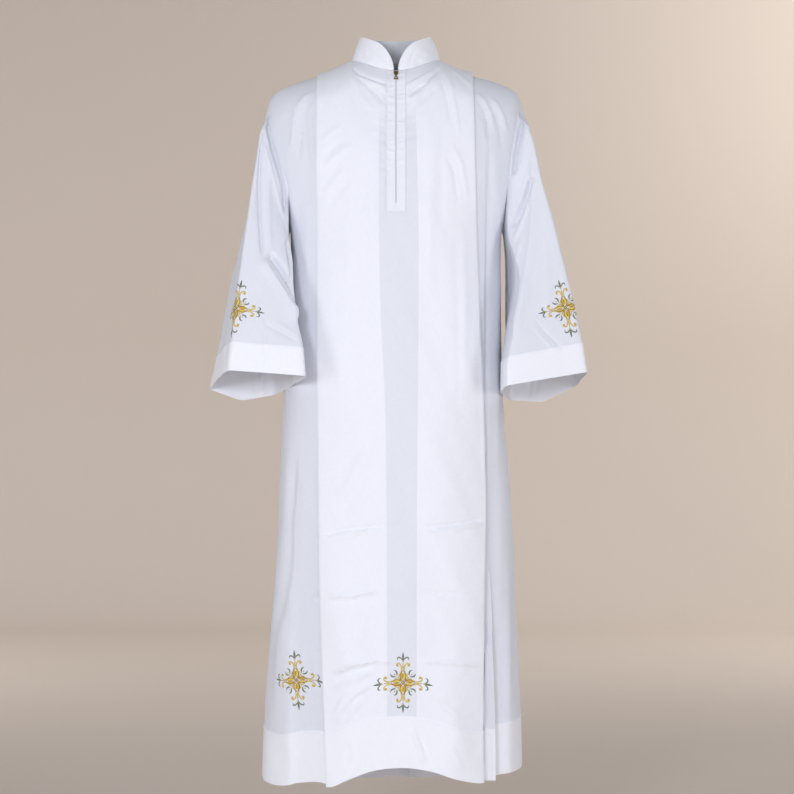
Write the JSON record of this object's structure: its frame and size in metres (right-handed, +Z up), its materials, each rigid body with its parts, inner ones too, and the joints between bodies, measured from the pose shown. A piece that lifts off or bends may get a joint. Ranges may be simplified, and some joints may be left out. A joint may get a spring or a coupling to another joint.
{
  "type": "alb robe",
  "caption": "Long white alb with box-pleated front and back, wide open sleeves, standing collar, half-front neck zip with a hinged pull, deep turned hem and cuffs.",
  "frame": {"origin": "middle of the neck opening at the level of the shoulder seams, where the wearer's shoulders hold it up", "axes": "+Z up the garment, -Y out of its front, -X towards the wearer's right sleeve"},
  "size_m": [0.7424, 0.4174, 1.5112],
  "materials": {
    "white_poly_cotton": "matte plain weave",
    "white_collar_cloth": "matte, interfaced",
    "white_zip_tape": "matte herringbone tape",
    "antique_brass": "dull antique"
  },
  "bodies": {
    "robe": {"front": "white_poly_cotton", "back": "white_poly_cotton", "sleeve_right": "white_poly_cotton", "sleeve_left": "white_poly_cotton", "collar": "white_collar_cloth", "zip_facing": "white_poly_cotton", "zip_tape_right": "white_zip_tape", "zip_tape_left": "white_zip_tape", "zip_slider": "antique_brass"},
    "pull": {"zip_pull": "antique_brass"}
  },
  "joints": [
    {"name": "zip_pull_hinge", "type": "hinge", "parent": "robe", "child": "pull", "pos_m": [0, -0.10706, -0.03441], "axis": [-1, 0, 0], "range_deg": [0, 150]}
  ]
}
